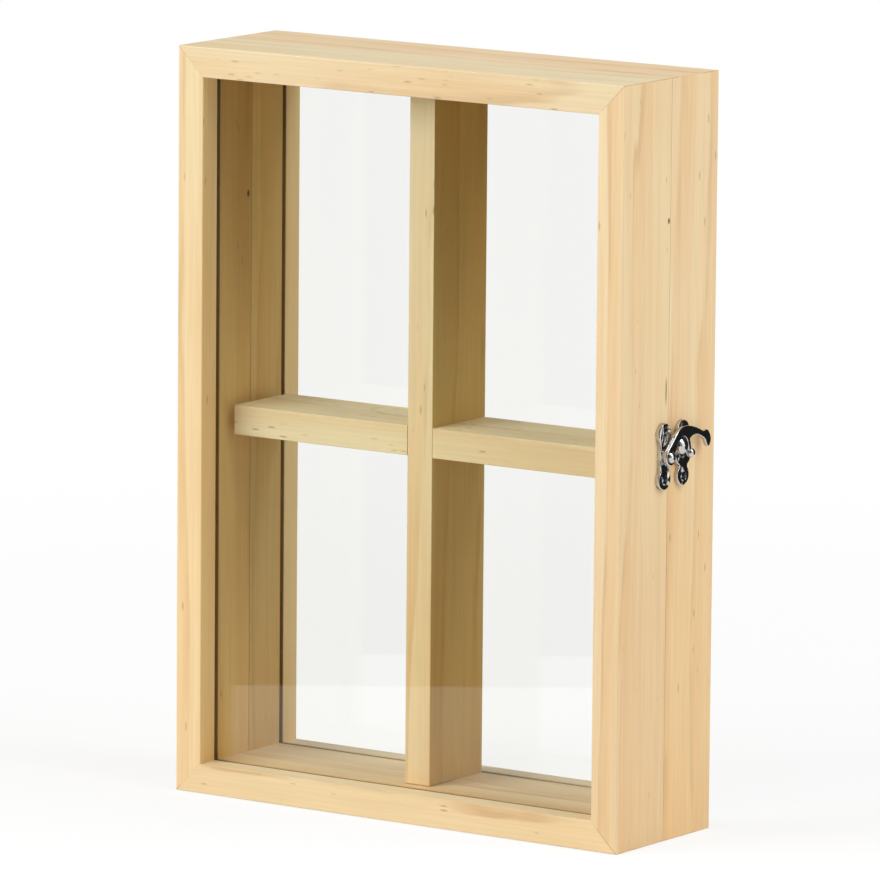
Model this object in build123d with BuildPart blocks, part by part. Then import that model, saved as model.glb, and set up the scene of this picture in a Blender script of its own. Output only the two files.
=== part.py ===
"""Floating display frame: two hinged wooden halves with glass front and back.

Each half is a mitred frame of four grooved sticks around a pane.  A cross of
two lapped boards is fixed in the rear half.  The front half swings open like a
door on two butt hinges on the left side, and a swing hook on the right side
holds it shut.

Units are millimetres.  X runs to the right seen from the front, Y runs into
the depth with the seam between the halves at Y = 0, and Z is up.  The origin
is the middle of the base.
"""

from build123d import *
from math import asin, atan2, cos, degrees, hypot, radians, sin
import os

os.makedirs("parts", exist_ok=True)

# Case
case_width = 212.0
case_height = 300.0
case_depth = 66.0
seam_gap = 0.2
member_width = 12.0
edge_ease = 0.5

# Panes and the grooves that hold them
groove_from_face = 9.5
groove_width = 2.6
groove_depth = 4.0
pane_thickness = 2.0
pane_edge_gap = 0.3

# Cross of lapped boards
board_thickness = 12.0
board_to_rear_pane = 0.8
board_to_front_pane = 5.1
shelf_height = 149.5
shelf_end_gap = 3.5
swing_relief = 0.3
lap_clearance = 0.1
board_ease = 0.4

# Wood screws
cross_slot_width = 0.5
cross_slot_depth = 0.5
cross_slot_margin = 0.65
fixed_clearance = 0.05
screw_dome = 0.4
screw_hole_spare = 0.4

# Butt hinges
hinge_inset = 62.0
leaf_width = 9.0
leaf_end_margin = 5.0
leaf_thickness = 0.9
leaf_corner = 1.0
knuckle_radius = 1.75
knuckle_rise = 0.15
knuckle_gap = 0.12
knuckle_notch_gap = 0.25
pin_radius = 0.8
pin_running_gap = 0.05
pin_head_radius = 1.3
pin_head_height = 0.5
hinge_screw_from_axis = 5.7
hinge_screw_spacing = 15.0
hinge_screw_head_radius = 1.6
hinge_screw_radius = 0.8
hinge_screw_length = 9.0

# Swing hook's two plates
latch_height = 152.8
latch_plate_y = -4.5
catch_plate_y = 8.6
plate_lobe_spacing = 17.6
latch_lobe_radius = 4.3
latch_waist = 6.0
catch_lobe_radius = 4.1
catch_lobe_overlap = 0.9
plate_height = 1.8
plate_sheet = 0.8
plate_wall = 1.0
plate_edge_radius = 0.5
plate_notch_radius = 1.0
plate_screw_outset = 0.5
plate_screw_head_radius = 1.9
plate_screw_radius = 1.0
plate_screw_length = 9.5

# Rivet that the hook turns on
rivet_y = -4.1
rivet_radius = 1.2
rivet_running_gap = 0.05
rivet_head_radius = 2.2
rivet_head_rim = 0.3
rivet_head_dome = 1.2
rivet_tail_radius = 1.55
rivet_tail_height = 0.6
rivet_boss_radius = 2.9
rivet_boss_height = 0.8

# Catch stud, placed from the rivet
stud_from_rivet_y = 8.15
stud_from_rivet_z = 3.55
stud_radius = 3.2
stud_side_height = 2.3
stud_dome_height = 1.8
stud_lobe_radius = 3.4
stud_lobe_from_plate_y = 3.8
stud_lobe_rise = 3.7
stud_pad_radius = 2.0
stud_pad_height = 0.4

# Hook, with its points measured from the rivet: Y to the right, Z up
hook_thickness = 1.8
hook_side_gap = 0.1
hook_eye_radius = 3.4
hook_notch_gap = 0.35
hook_prong_width = 1.9
hook_prong_start_angle = 21.0
hook_prong_end_angle = 5.0
hook_ball_radius = 1.9
hook_ball_reach = 1.7
hook_ball_rise = 0.4
hook_ball_angle = 0.5
hook_arm_angle = 28.0
hook_back_angle = 140.0
hook_corner_ease = 0.4
hook_edge_ease = 0.5
hook_back = [(1.6, 6.4), (4.6, 9.3), (8.2, 10.9), (12.4, 11.0), (17.0, 9.9), (21.0, 8.4)]
horn_end = [(23.6, 7.55), (25.4, 7.85), (26.9, 6.7), (28.0, 4.2), (27.6, 2.1), (26.2, 1.0)]
horn_underside = [(25.1, 1.7), (24.0, 3.7), (21.4, 5.5), (18.2, 6.7), (15.6, 6.7)]

# Places worked out from the sizes above
half_depth = case_depth / 2
stick_depth = half_depth - seam_gap / 2
inner_width = case_width - 2 * member_width
inner_height = case_height - 2 * member_width
pane_lap = groove_depth - pane_edge_gap
pane_middle_y = half_depth - groove_from_face - groove_width / 2
board_depth = 2 * pane_middle_y - pane_thickness - board_to_rear_pane - board_to_front_pane
board_middle_y = (board_to_front_pane - board_to_rear_pane) / 2
shelf_length = inner_width - 2 * shelf_end_gap
knuckle_axis_height = knuckle_radius + knuckle_rise
leaf_height = hinge_screw_spacing + 2 * leaf_end_margin
middle_knuckle = leaf_height / 3
hook_bottom = plate_height + rivet_boss_height + hook_side_gap
hook_top = hook_bottom + hook_thickness
stud_y = rivet_y + stud_from_rivet_y
stud_z = latch_height + stud_from_rivet_z
stud_distance = hypot(stud_from_rivet_y, stud_from_rivet_z)
stud_angle = degrees(atan2(stud_from_rivet_z, stud_from_rivet_y))
notch_radius = stud_radius + hook_notch_gap
prong_inner = stud_distance + notch_radius
prong_outer = prong_inner + hook_prong_width
plate_cavity = plate_height - plate_sheet
plate_screw_spacing = plate_lobe_spacing + 2 * plate_screw_outset
catch_middle_radius = plate_lobe_spacing / 2 - catch_lobe_radius + catch_lobe_overlap


def side_plane(y, z):
    """Plane on the right side: local x is Y, local y is up and the normal is +X."""
    return Plane(origin=(case_width / 2, y, z), x_dir=(0, 1, 0), z_dir=(1, 0, 0))


def hinge_plane(z):
    """Plane on the left side: local x is towards the front and local y is up."""
    return Plane(origin=(-case_width / 2, 0, z), x_dir=(0, -1, 0), z_dir=(-1, 0, 0))


def column(x, spacing):
    """Two places one above the other on a side plane."""
    return [(x, -spacing / 2), (x, spacing / 2)]


def finish(piece, label):
    """Name a piece and write its file."""
    piece.part.label = label
    export_step(piece.part, f"parts/{label}.step")


def polar(radius, angle):
    """A point on a side plane from its distance to the rivet and its angle."""
    return (radius * cos(radians(angle)), radius * sin(radians(angle)))


def dome_middle(radius, rise):
    """Middle point of a round dome's profile, from the radius of its rim and its rise."""
    ball_radius = (radius**2 + rise**2) / (2 * rise)
    half_angle = asin(radius / ball_radius) / 2
    return ball_radius * sin(half_angle), rise - ball_radius * (1 - cos(half_angle))


latch_plane = side_plane(0, latch_height)
rivet_plane = side_plane(rivet_y, latch_height)
stud_plane = side_plane(stud_y, stud_z)
hinge_planes = {
    "lower": hinge_plane(hinge_inset),
    "upper": hinge_plane(case_height - hinge_inset),
}
latch_screw_spots = column(latch_plate_y, plate_screw_spacing)
catch_screw_spots = column(catch_plate_y, plate_screw_spacing)


def hinge_screw_spots(side):
    """Screw places on a leaf: side is 1 on the front half and -1 on the rear half."""
    return column(side * hinge_screw_from_axis, hinge_screw_spacing)


def drill(planes, spots, screw_radius, screw_length):
    """Pilot holes into a stick's outer side, a little deeper than the screws."""
    for plane in planes:
        with Locations(plane):
            with Locations(*spots):
                Hole(screw_radius + fixed_clearance, depth=screw_length + screw_hole_spare)


def mitred_stick(half, middle, inward, length):
    """Run one grooved profile along a side of a half frame and mitre both ends.

    half is -1 in front and 1 at the rear, middle is the X and Z of the middle
    of the stick's outer edge, and inward points from there to the glass.
    """
    to_seam = Vector(0, -half, 0)
    along = to_seam.cross(inward)
    outer = Vector(middle[0], half * half_depth, middle[1])
    with BuildPart() as stick:
        with BuildSketch(Plane(origin=outer, x_dir=to_seam, z_dir=along)) as profile:
            Rectangle(stick_depth, member_width, align=(Align.MIN, Align.MIN))
            fillet(profile.vertices().group_by(Axis.X)[0], radius=edge_ease)
            with Locations((groove_from_face, member_width)):
                Rectangle(groove_width, groove_depth, align=(Align.MIN, Align.MAX),
                          mode=Mode.SUBTRACT)
        extrude(amount=length / 2, both=True)
        for end in (-1, 1):
            corner = outer + along * (end * length / 2)
            split(bisect_by=Plane(origin=corner, z_dir=along * -end - inward))
    return stick


# Sticks and panes of the front and the rear half
half_sides = {"front": -1, "rear": 1}
stick_places = {
    "bottom_rail": ((0, 0), Vector(0, 0, 1), case_width),
    "top_rail": ((0, case_height), Vector(0, 0, -1), case_width),
    "left_stile": ((-case_width / 2, case_height / 2), Vector(1, 0, 0), case_height),
    "right_stile": ((case_width / 2, case_height / 2), Vector(-1, 0, 0), case_height),
}
plate_screw_spots = {"front": latch_screw_spots, "rear": catch_screw_spots}
for half_name, half in half_sides.items():
    for stick_name, place in stick_places.items():
        stick = mitred_stick(half, *place)
        with stick:
            if stick_name == "left_stile":
                drill(hinge_planes.values(), hinge_screw_spots(-half), hinge_screw_radius,
                      hinge_screw_length - leaf_thickness)
            if stick_name == "right_stile":
                drill([latch_plane], plate_screw_spots[half_name], plate_screw_radius,
                      plate_screw_length - plate_height)
        finish(stick, f"{half_name}_{stick_name}")

    with BuildPart() as pane:
        with BuildSketch(Plane.XZ.offset(-half * pane_middle_y)):
            with Locations((0, case_height / 2)):
                Rectangle(inner_width + 2 * pane_lap, inner_height + 2 * pane_lap)
        extrude(amount=pane_thickness / 2, both=True)
    finish(pane, f"{half_name}_pane")


# Upright board: its slot is open to the rear, its front ends clear the swinging rails
with BuildPart() as vertical_divider:
    with BuildSketch(Plane.XY.offset(member_width)) as board_profile:
        with Locations((0, board_middle_y)):
            Rectangle(board_thickness, board_depth)
        fillet(board_profile.vertices(), radius=board_ease)
    extrude(amount=inner_height)
    with BuildSketch(Plane.XY.offset(shelf_height)):
        with Locations((0, board_middle_y)):
            Rectangle(2 * board_thickness, board_depth, align=(Align.CENTER, Align.MIN))
    extrude(amount=board_thickness / 2 + lap_clearance, both=True, mode=Mode.SUBTRACT)
    with BuildSketch(Plane.XZ.offset(-seam_gap / 2)):
        for height in (member_width, case_height - member_width):
            with Locations((0, height)):
                Rectangle(2 * board_thickness, 2 * swing_relief)
    extrude(amount=board_depth, mode=Mode.SUBTRACT)
finish(vertical_divider, "vertical_divider")

# Shelf board: its slot is open to the front and its ends stop short of the stiles
with BuildPart() as horizontal_divider:
    with BuildSketch(Plane.YZ) as board_profile:
        with Locations((board_middle_y, shelf_height)):
            Rectangle(board_depth, board_thickness)
        fillet(board_profile.vertices(), radius=board_ease)
    extrude(amount=shelf_length / 2, both=True)
    chamfer(horizontal_divider.faces().filter_by(Axis.X).edges(), length=board_ease)
    with BuildSketch(Plane.XZ.offset(-board_middle_y)):
        with Locations((0, shelf_height)):
            Rectangle(board_thickness + 2 * lap_clearance, 2 * board_thickness)
    extrude(amount=board_depth, mode=Mode.SUBTRACT)
finish(horizontal_divider, "horizontal_divider")


def countersunk_screw(head_radius, shank_radius, length):
    """Oval-head wood screw along Z, with the rim of its head at Z = 0."""
    cone_height = head_radius - shank_radius
    point_height = 2 * shank_radius
    slot_length = 2 * (head_radius - cross_slot_margin)
    middle_x, middle_y = dome_middle(head_radius, screw_dome)
    with BuildPart() as screw:
        with BuildSketch(Plane.XZ):
            with BuildLine():
                Polyline(
                    (head_radius, 0),
                    (shank_radius, -cone_height),
                    (shank_radius, point_height - length),
                    (0, -length),
                    (0, screw_dome),
                )
                ThreePointArc((0, screw_dome), (middle_x, middle_y), (head_radius, 0))
            make_face()
        revolve(axis=Axis.Z)
        with BuildSketch(Plane.XY.offset(screw_dome)):
            Rectangle(slot_length, cross_slot_width)
            Rectangle(cross_slot_width, slot_length)
        extrude(amount=-cross_slot_depth, mode=Mode.SUBTRACT)
    return screw.part


def screw_set(label, screw, planes, spots):
    """A row of like screws with their heads on the given planes."""
    with BuildPart() as screws:
        for plane in planes:
            with Locations(plane):
                with Locations(*spots):
                    add(screw)
    finish(screws, label)


plate_screw = countersunk_screw(plate_screw_head_radius, plate_screw_radius, plate_screw_length)
hinge_screw = countersunk_screw(hinge_screw_head_radius, hinge_screw_radius, hinge_screw_length)
plate_top = latch_plane.offset(plate_height)
leaf_tops = [plane.offset(leaf_thickness) for plane in hinge_planes.values()]
screw_set("latch_screws", plate_screw, [plate_top], latch_screw_spots)
screw_set("catch_screws", plate_screw, [plate_top], catch_screw_spots)
screw_set("front_hinge_screws", hinge_screw, leaf_tops, hinge_screw_spots(1))
screw_set("rear_hinge_screws", hinge_screw, leaf_tops, hinge_screw_spots(-1))


def sink_screw_holes(plane, spots, head_radius, screw_radius, depth):
    """Countersunk holes through a plate or a leaf for its screws."""
    with Locations(plane):
        with Locations(*spots):
            CounterSinkHole(screw_radius + fixed_clearance, head_radius + fixed_clearance,
                            depth=depth, counter_sink_angle=90)


def hinge_leaf(label, plane, side):
    """One leaf: side 1 in front with the middle knuckle, -1 at the rear with the outer two."""
    inner = middle_knuckle / 2 - knuckle_gap / 2
    outer = middle_knuckle / 2 + knuckle_gap / 2
    end = leaf_height / 2
    if side == 1:
        knuckles = [(-inner, inner)]
        notches = [(-end, -inner), (inner, end)]
    else:
        knuckles = [(-end, -outer), (outer, end)]
        notches = [(-outer, outer)]
    pin_axis = Plane(
        origin=plane.origin + plane.z_dir * knuckle_axis_height, x_dir=plane.x_dir, z_dir=plane.y_dir
    )
    with BuildPart() as leaf:
        with BuildSketch(plane) as outline:
            with Locations((side * leaf_width / 2, 0)):
                Rectangle(leaf_width, leaf_height)
            fillet(outline.vertices().group_by(Axis.X)[-1 if side == 1 else 0], radius=leaf_corner)
        extrude(amount=leaf_thickness)
        for bottom, top in notches:
            with BuildSketch(pin_axis.offset(bottom)):
                Rectangle(2 * (knuckle_radius + knuckle_notch_gap), 2 * knuckle_axis_height)
            extrude(amount=top - bottom, mode=Mode.SUBTRACT)
        for bottom, top in knuckles:
            with BuildSketch(pin_axis.offset(bottom)):
                Circle(knuckle_radius)
            extrude(amount=top - bottom)
        with BuildSketch(pin_axis):
            Circle(pin_radius + pin_running_gap)
        extrude(amount=leaf_height, both=True, mode=Mode.SUBTRACT)
        sink_screw_holes(plane.offset(leaf_thickness), hinge_screw_spots(side),
                         hinge_screw_head_radius, hinge_screw_radius, leaf_thickness)
    finish(leaf, label)


def hinge_pin(label, plane):
    """Pin through the knuckles with a domed head at each end."""
    half_height = leaf_height / 2
    crown = half_height + pin_head_height
    middle_x, middle_y = dome_middle(pin_head_radius, pin_head_height)
    pin_plane = Plane(
        origin=plane.origin + plane.z_dir * knuckle_axis_height, x_dir=plane.x_dir, z_dir=plane.z_dir
    )
    with BuildPart() as pin:
        with BuildSketch(pin_plane) as pin_half:
            with BuildLine():
                Polyline(
                    (0, crown), (0, 0), (pin_radius, 0), (pin_radius, half_height),
                    (pin_head_radius, half_height),
                )
                ThreePointArc((pin_head_radius, half_height),
                              (middle_x, half_height + middle_y), (0, crown))
            make_face()
            mirror(about=Plane.XZ)
        revolve(axis=Axis(pin_plane.origin, pin_plane.y_dir))
    finish(pin, label)


for hinge_name, plane in hinge_planes.items():
    hinge_leaf(f"{hinge_name}_hinge_front_leaf", plane, 1)
    hinge_leaf(f"{hinge_name}_hinge_rear_leaf", plane, -1)
    hinge_pin(f"{hinge_name}_hinge_pin", plane)


def stamped_plate(label, outline, screw_spots, boss_plane, boss_radius, boss_height):
    """Plate pressed from its outline: a rounded rim, a hollow under the sheet and a boss."""
    with BuildPart() as plate:
        with BuildSketch(latch_plane):
            add(outline)
        extrude(amount=plate_height)
        fillet(plate.faces().sort_by(Axis.X)[-1].edges(), radius=plate_edge_radius)
        with BuildSketch(latch_plane):
            add(outline)
            offset(amount=-plate_wall)
        extrude(amount=plate_cavity, mode=Mode.SUBTRACT)
        with BuildSketch(boss_plane.offset(plate_cavity)):
            Circle(boss_radius)
        extrude(amount=plate_sheet + boss_height)
        with Locations(boss_plane.offset(plate_height + boss_height)):
            Hole(rivet_radius + fixed_clearance, depth=plate_height + boss_height)
        sink_screw_holes(plate_top, screw_spots, plate_screw_head_radius, plate_screw_radius,
                         plate_height)
    finish(plate, label)


# Plate on the front half: two lobes with a narrow waist
with BuildSketch() as latch_outline:
    with Locations(*column(latch_plate_y, plate_lobe_spacing)):
        Circle(latch_lobe_radius)
    with Locations((latch_plate_y, 0)):
        Rectangle(latch_waist, plate_lobe_spacing)
    fillet(latch_outline.vertices(), radius=plate_notch_radius)
stamped_plate("latch_plate", latch_outline.sketch, latch_screw_spots, rivet_plane,
              rivet_boss_radius, rivet_boss_height)

# Plate on the rear half: two lobes, round shoulders and a lobe under the stud
with BuildSketch() as catch_outline:
    with Locations(*column(catch_plate_y, plate_lobe_spacing)):
        Circle(catch_lobe_radius)
    with Locations((catch_plate_y, 0)):
        Circle(catch_middle_radius)
    with Locations((catch_plate_y - stud_lobe_from_plate_y, stud_lobe_rise)):
        Circle(stud_lobe_radius)
    fillet(catch_outline.vertices(), radius=plate_notch_radius)
stamped_plate("catch_plate", catch_outline.sketch, catch_screw_spots, stud_plane,
              stud_pad_radius, stud_pad_height)


def riveted_stud(label, plane, seat, radius, side_height, dome_height):
    """Turned stud: a tail clenched inside the plate, a shank and a domed head.

    seat is the height at which the head starts.
    """
    head_top = seat + side_height + dome_height
    tail_bottom = plate_cavity - rivet_tail_height
    middle_x, middle_y = dome_middle(radius, dome_height)
    section = Plane(origin=plane.origin, x_dir=plane.x_dir, z_dir=plane.y_dir * -1)
    with BuildPart() as stud:
        with BuildSketch(section):
            with BuildLine():
                Polyline(
                    (0, head_top),
                    (0, tail_bottom),
                    (rivet_tail_radius, tail_bottom),
                    (rivet_tail_radius, plate_cavity),
                    (rivet_radius, plate_cavity),
                    (rivet_radius, seat),
                    (radius, seat),
                    (radius, seat + side_height),
                )
                ThreePointArc((radius, seat + side_height),
                              (middle_x, seat + side_height + middle_y), (0, head_top))
            make_face()
        revolve(axis=Axis(plane.origin, plane.z_dir))
    finish(stud, label)


riveted_stud("latch_rivet", rivet_plane, hook_top + hook_side_gap, rivet_head_radius,
             rivet_head_rim, rivet_head_dome)
riveted_stud("catch_stud", stud_plane, plate_height + stud_pad_height, stud_radius,
             stud_side_height, stud_dome_height)


def stud_point(angle):
    """A point of the hook's notch, which runs round the stud, from its angle there."""
    return (
        stud_from_rivet_y + notch_radius * cos(radians(angle)),
        stud_from_rivet_z + notch_radius * sin(radians(angle)),
    )


# Hook: an eye on the rivet, an arm that arches over the stud, a prong and a horn
with BuildPart() as swing_hook:
    with BuildSketch(rivet_plane.offset(hook_bottom)) as hook_outline:
        with BuildLine():
            CenterArc((0, 0), hook_eye_radius, hook_arm_angle,
                      hook_back_angle - 360 - hook_arm_angle)
            Spline(
                polar(hook_eye_radius, hook_back_angle),
                *hook_back,
                *horn_end,
                *horn_underside,
                polar(prong_outer, hook_prong_start_angle),
                tangents=[
                    polar(1, hook_back_angle - 90),
                    polar(1, hook_prong_start_angle - 90),
                ],
            )
            CenterArc((0, 0), prong_outer, hook_prong_start_angle,
                      hook_prong_end_angle - hook_prong_start_angle)
            Line(polar(prong_outer, hook_prong_end_angle), polar(prong_inner, hook_prong_end_angle))
            CenterArc((0, 0), prong_inner, hook_prong_end_angle, stud_angle - hook_prong_end_angle)
            ThreePointArc(stud_point(stud_angle), stud_point(90), stud_point(180))
            Line(stud_point(180), polar(hook_eye_radius, hook_arm_angle))
        make_face()
        arm_corners = hook_outline.vertices().sort_by_distance(stud_point(180))[:1]
        arm_corners += hook_outline.vertices().sort_by_distance(
            polar(hook_eye_radius, hook_arm_angle))[:1]
        fillet(arm_corners, radius=hook_corner_ease)
    extrude(amount=hook_thickness)
    fillet(swing_hook.faces().filter_by(Plane.YZ).edges(), radius=hook_edge_ease)
    with Locations(rivet_plane.offset(hook_bottom + hook_thickness / 2 + hook_ball_rise)):
        with Locations(polar(prong_inner + hook_ball_reach, hook_ball_angle)):
            Sphere(hook_ball_radius)
    with Locations(rivet_plane.offset(hook_top)):
        Hole(rivet_radius + rivet_running_gap, depth=hook_thickness)
finish(swing_hook, "swing_hook")
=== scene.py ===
"""Looks of the floating display frame: pale pine, clear panes and a bright swing hook.

Every length is in metres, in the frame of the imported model.  X runs to the right seen from
the front, Y runs into the depth with the seam at Y = 0, and Z is up.
"""

from math import cos, radians, sin

import bpy
from mathutils import Matrix, Vector


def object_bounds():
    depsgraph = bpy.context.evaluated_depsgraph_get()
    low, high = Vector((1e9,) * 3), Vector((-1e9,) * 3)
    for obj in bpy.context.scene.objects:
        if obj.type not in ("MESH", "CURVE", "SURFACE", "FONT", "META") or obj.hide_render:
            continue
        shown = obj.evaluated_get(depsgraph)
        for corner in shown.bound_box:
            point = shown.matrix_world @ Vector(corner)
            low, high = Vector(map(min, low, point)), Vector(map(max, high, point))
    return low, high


bl_info = {
    "name": "Floating display frame",
    "version": (1, 0, 0),
    "blender": (4, 5, 0),
    "location": "3D View > Sidebar > Display frame",
    "description": "Finishes a hinged wooden display frame with pine, glass and nickel",
    "category": "Object",
}

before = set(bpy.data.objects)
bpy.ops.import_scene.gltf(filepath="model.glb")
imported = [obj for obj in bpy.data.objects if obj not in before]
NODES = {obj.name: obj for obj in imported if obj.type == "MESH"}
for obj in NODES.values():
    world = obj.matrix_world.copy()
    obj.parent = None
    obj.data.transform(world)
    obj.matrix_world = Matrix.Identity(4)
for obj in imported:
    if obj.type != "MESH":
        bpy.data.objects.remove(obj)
CAD_BOX = [list(corner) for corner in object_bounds()]

# Pine pieces.  The pith is an axis along the grain, given by X and Y, or by Z and Y where
# the grain runs along X.  tones_and_light tint the wood at the top and at the foot of the frame;
# they are partly the wood's own tone and partly painted light and shade.  inside is painted
# shade on the faces that look aside between the panes, at the top and at the foot.  late is
# the strength of the late wood lines, waves that of their bends, and flecks the share of cells
# that hold a resin mark.
PINE_PIECES = {
    "front_bottom_rail": {"along": "X", "pith": (0.010, 0.030), "late": 1.5, "waves": 2.6,
                          "flecks": 0.10, "tones_and_light": ((1, 1, 1), (1.02, 0.99, 0.94))},
    "front_top_rail": {"along": "X", "pith": (0.315, 0.050), "late": 1.1, "waves": 2.0,
                       "flecks": 0.34, "tones_and_light": ((0.97, 0.99, 1.02), (1, 1, 1))},
    "front_left_stile": {"along": "Z", "pith": (-0.180, -0.110), "late": 0.8, "waves": 1.6,
                         "flecks": 0.03, "tones_and_light": ((0.99, 0.99, 0.94), (1.05, 0.99, 0.90)),
                         "inside": ((0.80, 0.65, 0.34), (0.93, 0.90, 0.68))},
    "front_right_stile": {"along": "Z", "pith": (0.170, 0.020), "late": 1.2, "waves": 2.4,
                          "flecks": 0.03, "tones_and_light": ((1.02, 1.01, 1.01), (0.98, 0.92, 0.88))},
    "rear_bottom_rail": {"along": "X", "pith": (-0.050, 0.080), "late": 1.0, "waves": 1.6,
                         "flecks": 0.08, "tones_and_light": ((1, 1, 1), (1, 1, 1))},
    "rear_top_rail": {"along": "X", "pith": (0.345, -0.030), "late": 1.4, "waves": 2.0,
                      "flecks": 0.06, "tones_and_light": ((0.99, 0.93, 0.94), (1, 1, 1))},
    "rear_left_stile": {"along": "Z", "pith": (-0.160, 0.100), "late": 1.0, "waves": 1.6,
                        "flecks": 0.06, "tones_and_light": ((1, 1, 1), (1, 1, 1)),
                        "inside": ((0.96, 0.85, 0.47), (0.88, 0.82, 0.60))},
    "rear_right_stile": {"along": "Z", "pith": (0.150, 0.060), "late": 1.2, "waves": 2.2,
                         "flecks": 0.02, "tones_and_light": ((1.03, 1.03, 1.06), (1.04, 0.96, 0.87))},
    "vertical_divider": {"along": "Z", "pith": (-0.060, -0.100), "late": 1.0, "waves": 1.6,
                         "flecks": 0.06, "tones_and_light": ((1.09, 1.15, 1.16), (1.07, 1.02, 0.88)),
                         "inside": ((0.71, 0.56, 0.25), (0.79, 0.76, 0.53))},
    "horizontal_divider": {"along": "X", "pith": (0.100, -0.110), "late": 1.0, "waves": 2.0,
                           "flecks": 0.26, "tones_and_light": ((1.09, 1.17, 1.18), (1.09, 1.17, 1.18))},
}

# Painted sheen on the faces that look up, and painted shade on the faces that look aside in the
# openings in front of and behind the panes
UP_SHEEN_TINT = (1.0, 1.06, 1.12)
OUTER_STRIP_SHADE = (1.0, 0.93, 0.74)

# How each piece's rings are bent, from wide to narrow: a noise's squeeze along the grain, its
# scale and detail, and how far it moves a ring
RING_BENDS = (
    (0.22, 14.0, 1.0, 0.014),
    (0.16, 55.0, 2.0, 0.004),
    (0.10, 260.0, 2.0, 0.0009),
)

TOP_HEIGHT = CAD_BOX[1][2]
MIDDLE_HEIGHT = (CAD_BOX[0][2] + TOP_HEIGHT) / 2
CASE_HALF_WIDTH = 0.106

# How far in from the sides of the case its mitres show, and half the width of their line
MITRE_REACH = 0.0118
MITRE_HALF = 0.0004

# Grooves for the panes: where they start and end from the middle of the frame, their
# middle from the seam and half their width
GROOVE_ASIDE = (0.0943, 0.0981)
GROOVE_ABOVE = (0.1383, 0.1421)
GROOVE_FROM_SEAM = 0.0222
GROOVE_HALF = 0.00135

# Floor: half its size, where its shadow starts and ends to fade, from the middle of the
# frame, and how much of the light near the frame it gives back and adds
FLOOR_HALF = 4.0
FADE_FROM, FADE_TO = 0.15, 0.9
FLOOR_PAPER = 0.25
FLOOR_GLOW = 0.75

# Lamps: how far round to the right, how high up, and power in watts
LAMPS = {
    "front_left_lamp": (-35, 25, 25.5),
    "front_high_lamp": (-10, 62, 8),
    "right_lamp": (95, 15, 7),
    "right_high_lamp": (95, 50, 19),
}

# Cards that only glass and metal mirror, each with its level, one corner and its two
# edges: one in front of the glass, one that the flat faces of the hook mirror, and dim
# surroundings far out
CARDS = {
    "glass_card": (0.03, (-1.812, 0.900, 0), (3.284, -2.283, 0), (0, 0, 3)),
    "latch_card": (0.02, (0.102, 0.303, 0), (0.296, -0.206, 0), (0, 0, 0.6)),
    "far_front_card": (0.3, (-3, -3, 0), (6, 0, 0), (0, 0, 3.5)),
    "far_rear_card": (0.3, (-3, 3, 0), (6, 0, 0), (0, 0, 3.5)),
    "far_left_card": (0.3, (-3, -3, 0), (0, 6, 0), (0, 0, 3.5)),
    "far_right_card": (0.3, (3, -3, 0), (0, 6, 0), (0, 0, 3.5)),
    "high_card": (0.3, (-3, -3, 3.5), (6, 0, 0), (0, 6, 0)),
}

# Pin knots and resin streaks that show: middle, and half the width and the length
PIN_KNOTS = {
    "front_left_stile": [((-0.094, -0.0022, 0.2386), 0.0011, 0.0020)],
    "front_right_stile": [((0.106, -0.0012, 0.2445), 0.0010, 0.0016),
                          ((0.106, -0.0017, 0.1780), 0.0005, 0.0070)],
    "rear_bottom_rail": [((-0.0655, -0.0006, 0.012), 0.0009, 0.0010)],
}


class PineSettings(bpy.types.PropertyGroup):
    """Colours and sizes of the pine."""

    early_colour: bpy.props.FloatVectorProperty(
        name="Early wood", description="Cream wood at the start of a year ring",
        subtype="COLOR", size=3, min=0, max=1, default=(0.91, 0.73, 0.45))
    warm_colour: bpy.props.FloatVectorProperty(
        name="Warm wood", description="Peach wood that a year ring darkens to",
        subtype="COLOR", size=3, min=0, max=1, default=(0.86, 0.61, 0.33))
    late_colour: bpy.props.FloatVectorProperty(
        name="Late wood", description="Thin darker line that ends a year ring",
        subtype="COLOR", size=3, min=0, max=1, default=(0.70, 0.47, 0.25))
    fleck_colour: bpy.props.FloatVectorProperty(
        name="Flecks", description="Short resin marks along the grain",
        subtype="COLOR", size=3, min=0, max=1, default=(0.42, 0.24, 0.10))
    knot_colour: bpy.props.FloatVectorProperty(
        name="Knots", description="Pin knots",
        subtype="COLOR", size=3, min=0, max=1, default=(0.16, 0.07, 0.02))
    # Painted shade in the grooves that hold the panes, and along the seam inside the case
    groove_shade_colour: bpy.props.FloatVectorProperty(
        name="Grooves", description="Wood in the grooves that hold the panes",
        subtype="COLOR", size=3, min=0, max=1, default=(0.50, 0.28, 0.09))
    ring_width: bpy.props.FloatProperty(
        name="Ring width", description="Usual width of a year ring",
        subtype="DISTANCE", unit="LENGTH", default=0.0125)
    roughness: bpy.props.FloatProperty(
        name="Roughness", description="Roughness of the sanded wood", default=0.45)


class GlassSettings(bpy.types.PropertyGroup):
    """Finish of the two panes."""

    tint: bpy.props.FloatVectorProperty(
        name="Tint", description="Share of the light that one face of a pane lets through",
        subtype="COLOR", size=3, min=0, max=1, default=(0.998, 1.0, 0.995))
    ior: bpy.props.FloatProperty(
        name="Index of refraction", description="Sets how much the glass mirrors", default=1.33)


class NickelSettings(bpy.types.PropertyGroup):
    """Finish of the plated metal."""

    colour: bpy.props.FloatVectorProperty(
        name="Nickel", description="Colour of the plated metal", subtype="COLOR",
        size=3, min=0, max=1, default=(0.62, 0.61, 0.60))
    roughness: bpy.props.FloatProperty(
        name="Roughness", description="Roughness of the plating", default=0.16)


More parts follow.
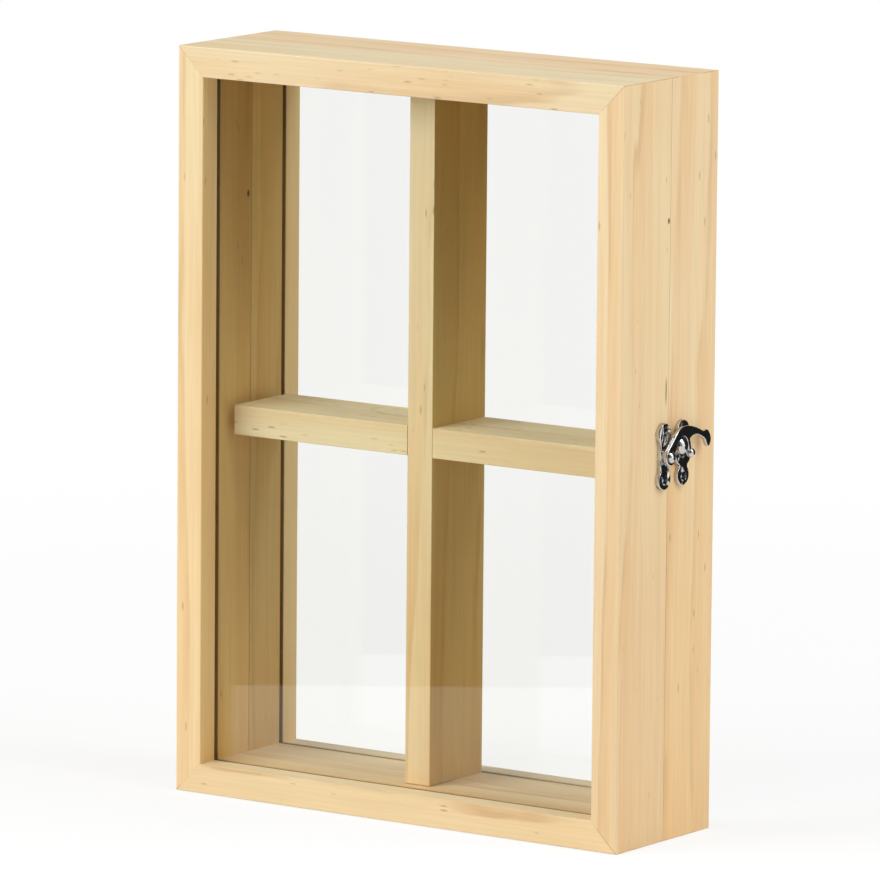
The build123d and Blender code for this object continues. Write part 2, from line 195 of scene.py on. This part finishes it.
class StageSettings(bpy.types.PropertyGroup):
    """Camera, lamps, floor and world."""

    lens: bpy.props.FloatProperty(
        name="Lens", description="Focal length on a 36 mm sensor, in millimetres",
        default=374.6)
    camera_turn: bpy.props.FloatProperty(
        name="Turn", description="How far the camera stands round to the right",
        subtype="ANGLE", unit="ROTATION", default=radians(34.772))
    camera_drop: bpy.props.FloatProperty(
        name="Drop", description="How far the camera looks down",
        subtype="ANGLE", unit="ROTATION", default=radians(9.195))
    camera_roll: bpy.props.FloatProperty(
        name="Roll", description="How far the picture is rolled",
        subtype="ANGLE", unit="ROTATION", default=radians(0.49))
    camera_place: bpy.props.FloatVectorProperty(
        name="Place", description="Where the camera stands", subtype="TRANSLATION",
        unit="LENGTH", size=3, default=(2.03213, -2.92913, 0.72524))
    lamp_distance: bpy.props.FloatProperty(
        name="Lamp distance", description="How far the lamps stand from the frame",
        subtype="DISTANCE", unit="LENGTH", default=2.2)
    lamp_size: bpy.props.FloatProperty(
        name="Lamp size", description="Width and height of each lamp",
        subtype="DISTANCE", unit="LENGTH", default=1.4)
    world_level: bpy.props.FloatProperty(
        name="World", description="Level of the light from all round", default=0.36)


class Tree:
    """Short calls that add nodes to a material or a world."""

    def __init__(self, tree):
        self.tree = tree

    def add(self, kind, inputs=None, **values):
        """A node with its inputs linked or set, and with its own values."""
        node = self.tree.nodes.new(kind)
        for name, value in values.items():
            setattr(node, name, value)
        for name, value in (inputs or {}).items():
            self.feed(node.inputs[name], value)
        return node

    def feed(self, socket, value):
        """Link a socket, or set it."""
        if isinstance(value, bpy.types.NodeSocket):
            self.tree.links.new(value, socket)
        else:
            socket.default_value = value

    def math(self, operation, *terms):
        """A sum, product or other operation on numbers."""
        return self.add("ShaderNodeMath", dict(enumerate(terms)), operation=operation).outputs[0]

    def vector(self, operation, *terms):
        """The same for vectors; a length comes out as a number."""
        node = self.add("ShaderNodeVectorMath", dict(enumerate(terms)), operation=operation)
        return node.outputs["Value" if operation == "LENGTH" else "Vector"]

    def axes(self, vector):
        """X, Y and Z of a vector."""
        return self.add("ShaderNodeSeparateXYZ", {0: vector}).outputs

    def ramp(self, value, low, high, start=0.0, end=1.0):
        """From start to end, smoothly, while the value goes from low to high."""
        node = self.add(
            "ShaderNodeMapRange",
            {"Value": value, "From Min": low, "From Max": high, "To Min": start, "To Max": end},
            interpolation_type="SMOOTHSTEP")
        return node.outputs["Result"]

    def mix(self, share, first, second, blend="MIX"):
        """Two colours, mixed or multiplied."""
        node = self.add("ShaderNodeMix", data_type="RGBA", blend_type=blend)
        for index, value in ((0, share), (6, first), (7, second)):
            self.feed(node.inputs[index], value)
        return node.outputs[2]

    def shade(self, colour, level):
        """A colour times a level."""
        grey = self.add("ShaderNodeCombineColor", {0: level, 1: level, 2: level}).outputs[0]
        return self.mix(1.0, colour, grey, "MULTIPLY")

    def noise(self, vector, scale, detail=2.0, rough=0.5):
        """Noise in space."""
        node = self.add(
            "ShaderNodeTexNoise",
            {"Vector": vector, "Scale": scale, "Detail": detail, "Roughness": rough,
             "Distortion": 0.0})
        return node.outputs["Fac"]

    def line_noise(self, place, scale, detail):
        """Noise along one line."""
        node = self.add("ShaderNodeTexNoise", {"Scale": scale, "Detail": detail},
                        noise_dimensions="1D")
        self.feed(node.inputs["W"], place)
        return node.outputs["Fac"]

    def shows(self):
        """1 where the camera sees a backdrop, straight, in a first mirror or through glass."""
        path = self.add("ShaderNodeLightPath").outputs
        mirrored = self.math("MULTIPLY", path["Is Glossy Ray"],
                             self.math("LESS_THAN", path["Ray Depth"], 1.5))
        straight = self.math("MAXIMUM", path["Is Camera Ray"], path["Is Transmission Ray"])
        return self.math("MAXIMUM", straight, mirrored)


class PineTree(Tree):
    """Nodes of one piece of pine, whose grain is turned to the Z axis of its own place."""

    def __init__(self, tree, pine, seed, along, pith):
        super().__init__(tree)
        self.pine = pine
        self.seed = seed
        self.along = along
        self.place = self.add("ShaderNodeTexCoord").outputs["Object"]
        turn = (0, radians(-90), 0) if along == "X" else (0, 0, 0)
        own = self.add("ShaderNodeMapping", {"Vector": self.place, "Rotation": turn},
                       vector_type="POINT").outputs[0]
        axis = Vector((-pith[0] if along == "X" else pith[0], pith[1], 0))
        across = self.vector("MULTIPLY", self.vector("SUBTRACT", own, axis), (1, 1, 0))
        self.from_pith = self.vector("LENGTH", across)
        self.own = self.vector("ADD", own, Vector((0.37, 0.61, 1.13)) * seed)

    def grain(self, squeeze, scale, detail=2.0, rough=0.5):
        """Noise that is drawn out along the grain."""
        drawn = self.vector("MULTIPLY", self.own, (1, 1, squeeze))
        return self.noise(drawn, scale, detail, rough)

    def rings(self, waves):
        """How far along its year ring a place is, from 0 to 1."""
        radius = self.from_pith
        for squeeze, scale, detail, reach in RING_BENDS:
            radius = self.math("MULTIPLY_ADD", self.grain(squeeze, scale, detail),
                               reach * waves, radius)
        width = self.pine.ring_width
        pace = self.line_noise(radius, 0.45 / width, 1.0)
        count = self.math("MULTIPLY_ADD", pace, 1.6, self.math("DIVIDE", radius, width))
        return self.math("FRACT", self.math("ADD", count, self.seed * 0.37))

    def wood(self, waves, late, fibres):
        """Cream wood that warms through each ring, and the late line that ends the ring."""
        pine = self.pine
        phase = self.rings(waves)
        warmth = self.math("MULTIPLY", self.ramp(phase, 0.1, 0.9), self.ramp(phase, 1.0, 0.92))
        line = self.math("MULTIPLY", self.ramp(phase, 0.78, 0.92), self.ramp(phase, 1.0, 0.93))
        part = self.ramp(self.grain(0.2, 34.0), 0.35, 0.65, 0.3, 1.0)
        cloud = self.ramp(self.grain(0.3, 24.0), 0.35, 0.65)
        streak = self.ramp(self.grain(0.035, 210.0), 0.35, 0.7)
        share = self.math("MULTIPLY", warmth, part)
        share = self.math("MULTIPLY_ADD", cloud, 0.45, share)
        share = self.math("MULTIPLY_ADD", streak, 0.4, share)
        colour = self.mix(self.math("MULTIPLY", share, 0.68), flat(pine.early_colour),
                          flat(pine.warm_colour))
        faded = self.ramp(self.grain(0.3, 60.0), 0.42, 0.68, 0.03, 0.5)
        line = self.math("MULTIPLY", line, faded)
        colour = self.mix(self.math("MULTIPLY", line, late), colour, flat(pine.late_colour))
        return self.shade(colour, self.ramp(fibres, 0.3, 0.7, 0.95, 1.02)), line

    def inner_face(self):
        """1 on the faces inside the frame that look aside, which get painted shade."""
        aside = self.axes(self.add("ShaderNodeTexCoord").outputs["Normal"])[0]
        x = self.axes(self.place)[0]
        return self.math("MULTIPLY", self.ramp(self.math("ABSOLUTE", aside), 0.3, 0.7),
                         self.math("LESS_THAN", self.math("ABSOLUTE", x), GROOVE_ASIDE[0]))

    def tint(self, colour, tones_and_light, inside):
        """The colour, tinted by height and by where a face looks: partly painted light and
        shade, with a painted sheen on faces that look up and painted shade on the inner faces
        that look aside.
        """
        y, z = self.axes(self.place)[1:3]
        above = self.axes(self.add("ShaderNodeTexCoord").outputs["Normal"])[2]
        height = self.ramp(z, 0.1 * TOP_HEIGHT, 0.9 * TOP_HEIGHT)
        colour = self.mix(1.0, colour, self.mix(height, flat(tones_and_light[1]), flat(tones_and_light[0])),
                          "MULTIPLY")
        colour = self.mix(self.ramp(above, 0.3, 0.7), colour, flat(UP_SHEEN_TINT), "MULTIPLY")
        height = self.ramp(z, 0.4 * TOP_HEIGHT, 0.93 * TOP_HEIGHT)
        inner_shade = self.mix(height, flat(inside[1]), flat(inside[0]))
        between = self.math("LESS_THAN", self.math("ABSOLUTE", y), GROOVE_FROM_SEAM)
        inner_shade = self.mix(between, flat(OUTER_STRIP_SHADE), inner_shade)
        return self.mix(self.inner_face(), colour, inner_shade, "MULTIPLY")

    def fleck_share(self, flecks):
        """Marks in the middles of a few long cells, in some parts of the wood only."""
        cells = self.add(
            "ShaderNodeTexVoronoi",
            {"Vector": self.vector("MULTIPLY", self.own, (1, 1, 0.22)), "Scale": 560.0}).outputs
        chance = self.add("ShaderNodeSeparateColor", {0: cells["Color"]}).outputs[0]
        fleck = self.math("MULTIPLY", self.ramp(cells["Distance"], 0.32, 0.10, 0.0, 0.55),
                          self.math("GREATER_THAN", chance, 1 - flecks))
        return self.math("MULTIPLY", fleck, self.ramp(self.grain(0.3, 60.0), 0.35, 0.55))

    def knot_share(self, spot, size, length):
        """1 in the middle of a knot, which is drawn out along the grain."""
        squeeze = size / length
        off = self.vector("MULTIPLY", self.vector("SUBTRACT", self.place, spot),
                          (squeeze, 1, 1) if self.along == "X" else (1, 1, squeeze))
        return self.ramp(self.vector("LENGTH", off), size, 0.4 * size, 0.0, 0.9)

    def groove_shade_share(self):
        """1 in the grooves that hold the panes, where painted shade darkens the wood, and 0 on
        the open faces of the sticks.
        """
        x, y, z = self.axes(self.place)
        aside = self.math("ABSOLUTE", x)
        above = self.math("ABSOLUTE", self.math("SUBTRACT", z, MIDDLE_HEIGHT))
        deep = self.math("COMPARE", self.math("ABSOLUTE", y), GROOVE_FROM_SEAM, GROOVE_HALF)
        within = self.math("MULTIPLY", self.math("LESS_THAN", aside, GROOVE_ASIDE[1]),
                           self.math("LESS_THAN", above, GROOVE_ABOVE[1]))
        beyond = self.math("MAXIMUM", self.math("GREATER_THAN", aside, GROOVE_ASIDE[0]),
                           self.math("GREATER_THAN", above, GROOVE_ABOVE[0]))
        return self.math("MULTIPLY", deep, self.math("MULTIPLY", within, beyond))

    def seam_share(self):
        """The shade of the seam between the two halves, inside the case."""
        from_seam = self.math("ABSOLUTE", self.axes(self.place)[1])
        seam = self.math("MULTIPLY", self.inner_face(), self.ramp(from_seam, 0.0004, 0.0002))
        return self.math("MULTIPLY", seam, 0.75)

    def mitre_share(self):
        """A thin shade along the mitres, stronger here and weaker there."""
        x, y, z = self.axes(self.place)
        from_side = self.math("SUBTRACT", CASE_HALF_WIDTH, self.math("ABSOLUTE", x))
        from_middle = self.math("ABSOLUTE", self.math("SUBTRACT", z, MIDDLE_HEIGHT))
        from_end = self.math("SUBTRACT", MIDDLE_HEIGHT, from_middle)
        off = self.math("ABSOLUTE", self.math("SUBTRACT", from_side, from_end))
        near = self.math("MULTIPLY", self.ramp(off, MITRE_HALF, 0.25 * MITRE_HALF),
                         self.math("LESS_THAN", from_side, MITRE_REACH))
        patches = self.ramp(self.noise(self.place, 90.0), 0.4, 0.65, 0.1, 0.55)
        return self.math("MULTIPLY", near, patches)


def new_material(name):
    """An empty node material, its tree helper and its output node."""
    material = bpy.data.materials.new(name)
    material.use_nodes = True
    material.node_tree.nodes.clear()
    tree = Tree(material.node_tree)
    return material, tree, tree.add("ShaderNodeOutputMaterial")


def flat(colour):
    """A colour with full alpha."""
    return (*colour, 1.0)


def pine_material(node, seed, along, pith, late, waves, flecks, tones_and_light,
                  inside=((0.9, 0.8, 0.5), (0.95, 0.9, 0.7))):
    """Sanded pine whose grain runs along one axis.

    The year rings are cylinders round the pith.  Their place is the distance from the pith,
    bent by slow noises that are drawn out along the grain.  Each ring starts cream, warms
    slowly, ends in a thin darker line and starts again, and slow noises fade whole parts of
    this.  Fibres are a noise drawn out along the grain, and flecks are the middles of a few
    long cells.
    """
    pine = bpy.context.scene.frame_pine
    material, plain, output = new_material(f"pine_{node}")
    tree = PineTree(plain.tree, pine, seed, along, pith)
    fibres = tree.grain(0.02, 1100.0, 3.0, 0.6)
    colour, line = tree.wood(waves, late, fibres)
    # Painted light and shade: height tints, a painted sheen on faces that look up, and painted
    # shade on the faces that look aside inside the case
    colour = tree.tint(colour, tones_and_light, inside)
    colour = tree.mix(tree.fleck_share(flecks), colour, flat(pine.fleck_colour))
    for knot in PIN_KNOTS.get(node, ()):
        colour = tree.mix(tree.knot_share(*knot), colour, flat(pine.knot_colour))
    if node.endswith("stile"):
        colour = tree.mix(tree.seam_share(), colour, flat(pine.groove_shade_colour))
    # Painted shade in the grooves that hold the panes
    colour = tree.mix(tree.groove_shade_share(), colour, flat(pine.groove_shade_colour))
    colour = tree.mix(tree.mitre_share(), colour, flat(pine.fleck_colour))

    height = tree.math("MULTIPLY_ADD", line, 0.5, fibres)
    bump = tree.add("ShaderNodeBump", {"Height": height, "Strength": 0.1, "Distance": 0.0003})
    rough = tree.ramp(fibres, 0.3, 0.7, pine.roughness - 0.05, pine.roughness + 0.07)
    shader = tree.add(
        "ShaderNodeBsdfPrincipled",
        {"Base Color": colour, "Roughness": rough, "Normal": bump.outputs[0],
         "Specular IOR Level": 0.08})
    tree.feed(output.inputs[0], shader.outputs[0])
    return material


def glass_material(name):
    """Clear glass: what it doesn't mirror passes straight through, with a faint tint."""
    glass = bpy.context.scene.frame_glass
    material, tree, output = new_material(name)
    clear = tree.add("ShaderNodeBsdfTransparent", {"Color": flat(glass.tint)})
    mirror = tree.add("ShaderNodeBsdfGlossy", {"Roughness": 0.0, "Color": (0.95, 0.96, 0.96, 1)})
    bounce = tree.add("ShaderNodeFresnel", {"IOR": glass.ior}).outputs[0]
    lit = tree.math("SUBTRACT", 1.0, tree.add("ShaderNodeLightPath").outputs["Is Shadow Ray"])
    both = tree.add("ShaderNodeMixShader", {0: tree.math("MULTIPLY", bounce, lit),
                                            1: clear.outputs[0], 2: mirror.outputs[0]})
    tree.feed(output.inputs[0], both.outputs[0])
    return material


def nickel_material(name, dull=0.0, waves=0.0):
    """Bright plating with faint polishing marks and a slightly uneven gloss.

    waves is the height of the soft swells that pressing leaves in a sheet, in metres.
    """
    nickel = bpy.context.scene.frame_nickel
    material, tree, output = new_material(name)
    place = tree.add("ShaderNodeTexCoord").outputs["Object"]
    marks = tree.noise(place, 2600.0, 3.0, 0.6)
    cloud = tree.noise(place, 320.0, 2.0, 0.5)
    swell = tree.noise(place, 300.0, 0.0, 0.5)
    colour = tree.shade(flat(nickel.colour), tree.ramp(cloud, 0.3, 0.7, 0.9, 1.0))
    rough = tree.ramp(cloud, 0.3, 0.7, nickel.roughness + dull - 0.04, nickel.roughness + dull)
    bump = tree.add("ShaderNodeBump", {"Height": marks, "Strength": 0.06, "Distance": 0.0002})
    bump = tree.add("ShaderNodeBump", {"Height": swell, "Strength": 1.0, "Distance": waves,
                                       "Normal": bump.outputs[0]})
    shader = tree.add(
        "ShaderNodeBsdfPrincipled",
        {"Base Color": colour, "Metallic": 1.0, "Roughness": rough, "Normal": bump.outputs[0]})
    tree.feed(output.inputs[0], shader.outputs[0])
    return material


def dress(node, material):
    """Put a material on a CAD node."""
    data = NODES[node].data
    data.materials.clear()
    data.materials.append(material)


class DISPLAYFRAME_OT_wood(bpy.types.Operator):
    """Finish the eight sticks and the two lapped boards with pine"""

    bl_idname = "display_frame.wood"
    bl_label = "Pine sticks and boards"

    def execute(self, context):
        for seed, (node, look) in enumerate(PINE_PIECES.items(), 1):
            dress(node, pine_material(node, seed, **look))
        return {"FINISHED"}


class DISPLAYFRAME_OT_panes(bpy.types.Operator):
    """Finish the front and the rear pane with clear glass"""

    bl_idname = "display_frame.panes"
    bl_label = "Glass panes"

    def execute(self, context):
        clear = glass_material("clear_glass")
        for half in ("front", "rear"):
            dress(f"{half}_pane", clear)
        return {"FINISHED"}


class DISPLAYFRAME_OT_latch(bpy.types.Operator):
    """Finish the swing hook, its plates, its rivet, its stud and their screws with nickel"""

    bl_idname = "display_frame.latch"
    bl_label = "Swing hook"

    def execute(self, context):
        bright = nickel_material("bright_nickel")
        for node in ("latch_rivet", "catch_stud", "swing_hook", "latch_screws", "catch_screws"):
            dress(node, bright)
        pressed = nickel_material("pressed_nickel", 0.02, 0.0022)
        for node in ("latch_plate", "catch_plate"):
            dress(node, pressed)
        return {"FINISHED"}


class DISPLAYFRAME_OT_hinges(bpy.types.Operator):
    """Finish the two butt hinges and their screws with nickel"""

    bl_idname = "display_frame.hinges"
    bl_label = "Butt hinges"

    def execute(self, context):
        plain = nickel_material("hinge_nickel", 0.1)
        for level in ("lower", "upper"):
            for piece in ("front_leaf", "rear_leaf", "pin"):
                dress(f"{level}_hinge_{piece}", plain)
        for half in ("front", "rear"):
            dress(f"{half}_hinge_screws", plain)
        return {"FINISHED"}


def soft_box(name, turn, rise, power):
    """A square lamp that stands round the frame by turn, up by rise, and faces its middle."""
    stage = bpy.context.scene.frame_stage
    data = bpy.data.lights.new(name, "AREA")
    data.shape = "SQUARE"
    data.size = stage.lamp_size
    data.energy = power
    lamp = bpy.data.objects.new(name, data)
    bpy.context.collection.objects.link(lamp)
    away = Vector((sin(turn) * cos(rise), -cos(turn) * cos(rise), sin(rise)))
    lamp.location = Vector((0, 0, MIDDLE_HEIGHT)) + stage.lamp_distance * away
    lamp.rotation_euler = away.to_track_quat("Z", "Y").to_euler()


def flat_sheet(name, corner, side, rise, material):
    """A stage sheet with four corners, from one corner and its two edges."""
    corner, side, rise = Vector(corner), Vector(side), Vector(rise)
    mesh = bpy.data.meshes.new(name)
    mesh.from_pydata([corner, corner + side, corner + side + rise, corner + rise], [],
                     [(0, 1, 2, 3)])
    mesh.materials.append(material)
    sheet = bpy.data.objects.new(name, mesh)
    bpy.context.collection.objects.link(sheet)
    return sheet


def mirror_card(name, level, corner, side, rise):
    """A card that shows in mirrored light only."""
    material, tree, output = new_material(name)
    grey = tree.add("ShaderNodeEmission", {"Color": (1, 1, 1, 1), "Strength": level})
    tree.feed(output.inputs[0], grey.outputs[0])
    card = flat_sheet(name, corner, side, rise, material)
    for ray in ("camera", "diffuse", "transmission", "volume_scatter", "shadow"):
        setattr(card, f"visible_{ray}", False)


def aim_camera():
    """A camera with a long lens, turned by yaw, pitch and roll."""
    stage = bpy.context.scene.frame_stage
    data = bpy.data.cameras.new("camera")
    data.sensor_width = 36
    data.lens = stage.lens
    data.clip_end = 100
    camera = bpy.data.objects.new("camera", data)
    bpy.context.collection.objects.link(camera)
    turn, drop, roll = stage.camera_turn, stage.camera_drop, stage.camera_roll
    ahead = Vector((-sin(turn) * cos(drop), cos(turn) * cos(drop), -sin(drop)))
    right = ahead.cross(Vector((0, 0, 1))).normalized()
    above = right.cross(ahead)
    side = cos(roll) * right + sin(roll) * above
    top = cos(roll) * above - sin(roll) * right
    camera.matrix_world = Matrix.Translation(stage.camera_place) @ Matrix(
        (side, top, -ahead)).transposed().to_4x4()
    bpy.context.scene.camera = camera


def floor_material():
    """White paper: it keeps the shadow, and a glow lifts it to white where it shows."""
    material, tree, output = new_material("floor_white")
    plain = tree.add("ShaderNodeBsdfDiffuse", {"Color": (0.8, 0.8, 0.8, 1)})
    away = tree.vector("LENGTH", tree.add("ShaderNodeTexCoord").outputs["Object"])
    level = tree.ramp(away, FADE_FROM, FADE_TO, FLOOR_PAPER, 0.0)
    paper = tree.add("ShaderNodeBsdfDiffuse", {"Color": tree.shade((1, 1, 1, 1), level)})
    level = tree.ramp(away, FADE_FROM, FADE_TO, FLOOR_GLOW, 1.0)
    glow = tree.add("ShaderNodeEmission", {"Color": (1, 1, 1, 1), "Strength": level})
    white = tree.add("ShaderNodeAddShader", {0: paper.outputs[0], 1: glow.outputs[0]})
    both = tree.add("ShaderNodeMixShader",
                    {0: tree.shows(), 1: plain.outputs[0], 2: white.outputs[0]})
    tree.feed(output.inputs[0], both.outputs[0])
    return material


def studio_world(level):
    """A world that is white where it shows, and a plain soft light elsewhere."""
    world = bpy.data.worlds.new("studio")
    world.use_nodes = True
    world.node_tree.nodes.clear()
    tree = Tree(world.node_tree)
    soft = tree.add("ShaderNodeBackground", {"Color": (1, 1, 1, 1), "Strength": level})
    white = tree.add("ShaderNodeBackground", {"Color": (1, 1, 1, 1), "Strength": 1.0})
    both = tree.add("ShaderNodeMixShader",
                    {0: tree.shows(), 1: soft.outputs[0], 2: white.outputs[0]})
    tree.feed(tree.add("ShaderNodeOutputWorld").inputs[0], both.outputs[0])
    return world


class DISPLAYFRAME_OT_stage(bpy.types.Operator):
    """Make the camera, the floor, the world, the cards and the lamps"""

    bl_idname = "display_frame.stage"
    bl_label = "Stage"

    def execute(self, context):
        scene = context.scene
        scene.view_settings.view_transform = "Standard"
        aim_camera()
        floor = flat_sheet("floor", (-FLOOR_HALF, -FLOOR_HALF, 0), (2 * FLOOR_HALF, 0, 0),
                           (0, 2 * FLOOR_HALF, 0), floor_material())
        floor.location.z = -0.0002
        scene.world = studio_world(scene.frame_stage.world_level)
        for name, card in CARDS.items():
            mirror_card(name, *card)
        for name, (turn, rise, power) in LAMPS.items():
            soft_box(name, radians(turn), radians(rise), power)
        return {"FINISHED"}


class DISPLAYFRAME_PT_panel(bpy.types.Panel):
    """Buttons for each group of pieces and for the stage."""

    bl_idname = "DISPLAYFRAME_PT_panel"
    bl_label = "Display frame"
    bl_space_type = "VIEW_3D"
    bl_region_type = "UI"
    bl_category = "Display frame"

    def draw(self, context):
        for operator in OPERATORS:
            self.layout.operator(operator.bl_idname)


SETTINGS = {
    "frame_pine": PineSettings,
    "frame_glass": GlassSettings,
    "frame_nickel": NickelSettings,
    "frame_stage": StageSettings,
}
OPERATORS = (
    DISPLAYFRAME_OT_wood,
    DISPLAYFRAME_OT_panes,
    DISPLAYFRAME_OT_latch,
    DISPLAYFRAME_OT_hinges,
    DISPLAYFRAME_OT_stage,
)
CLASSES = (*SETTINGS.values(), *OPERATORS, DISPLAYFRAME_PT_panel)


def register():
    """Register the classes and hang the settings on the scene."""
    for cls in CLASSES:
        bpy.utils.register_class(cls)
    for name, cls in SETTINGS.items():
        setattr(bpy.types.Scene, name, bpy.props.PointerProperty(type=cls))


def unregister():
    """Take the settings and the classes away again."""
    for name in SETTINGS:
        delattr(bpy.types.Scene, name)
    for cls in reversed(CLASSES):
        bpy.utils.unregister_class(cls)


def main():
    """Make every group in order."""
    register()
    bpy.ops.display_frame.wood()
    bpy.ops.display_frame.panes()
    bpy.ops.display_frame.latch()
    bpy.ops.display_frame.hinges()
    bpy.ops.display_frame.stage()


if __name__ == "__main__":
    main()
